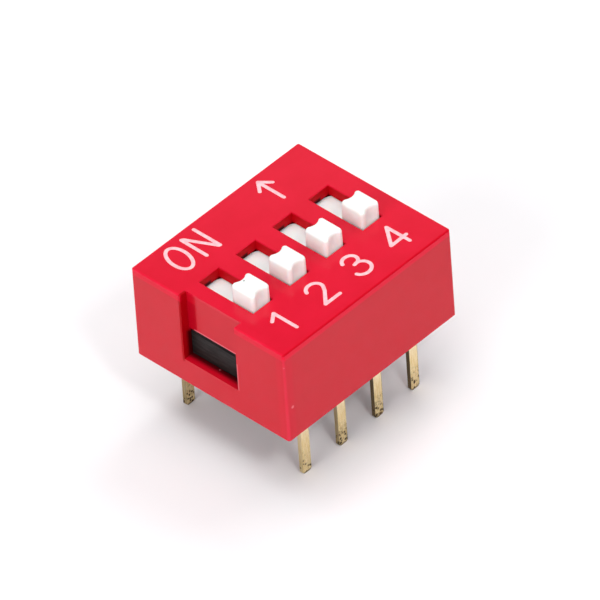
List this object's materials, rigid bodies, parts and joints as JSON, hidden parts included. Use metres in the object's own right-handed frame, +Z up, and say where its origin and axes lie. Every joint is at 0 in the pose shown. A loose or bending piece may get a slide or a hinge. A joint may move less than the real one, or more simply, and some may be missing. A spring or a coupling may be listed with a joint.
{
  "type": "dip switch",
  "caption": "Through-hole slide switch block: a boxy moulded body with slots, small scooped slide knobs and rows of flat pins.",
  "frame": {"origin": "centre of the seating plane, where the flat underside meets the circuit board, midway between the two rows of pins", "axes": "+X along the row of switches from position 1 to position 4, +Y towards the ON side of the slots, +Z up from the board"},
  "size_m": [0.0116, 0.0098, 0.0103],
  "materials": {
    "cover_red": "moulded, soft gloss",
    "base_black": "moulded, satin",
    "slider_white": "moulded, satin",
    "terminal_gold": "thin gold plating, tarnished at the tips",
    "contact_gold": "bright gold plating"
  },
  "bodies": {
    "housing": {"cover": "cover_red", "base": "base_black", "terminal_1": "terminal_gold", "terminal_2": "terminal_gold", "terminal_3": "terminal_gold", "terminal_4": "terminal_gold", "terminal_5": "terminal_gold", "terminal_6": "terminal_gold", "terminal_7": "terminal_gold", "terminal_8": "terminal_gold"},
    "slide_1": {"slider_1": "slider_white", "contact_1": "contact_gold"},
    "slide_2": {"slider_2": "slider_white", "contact_2": "contact_gold"},
    "slide_3": {"slider_3": "slider_white", "contact_3": "contact_gold"},
    "slide_4": {"slider_4": "slider_white", "contact_4": "contact_gold"}
  },
  "joints": [
    {"name": "switch_1", "type": "slide", "parent": "housing", "child": "slide_1", "axis": [0, 1, 0], "range_m": [0, 0.002]},
    {"name": "switch_2", "type": "slide", "parent": "housing", "child": "slide_2", "axis": [0, 1, 0], "range_m": [0, 0.002]},
    {"name": "switch_3", "type": "slide", "parent": "housing", "child": "slide_3", "axis": [0, 1, 0], "range_m": [0, 0.002]},
    {"name": "switch_4", "type": "slide", "parent": "housing", "child": "slide_4", "axis": [0, 1, 0], "range_m": [0, 0.002]}
  ]
}
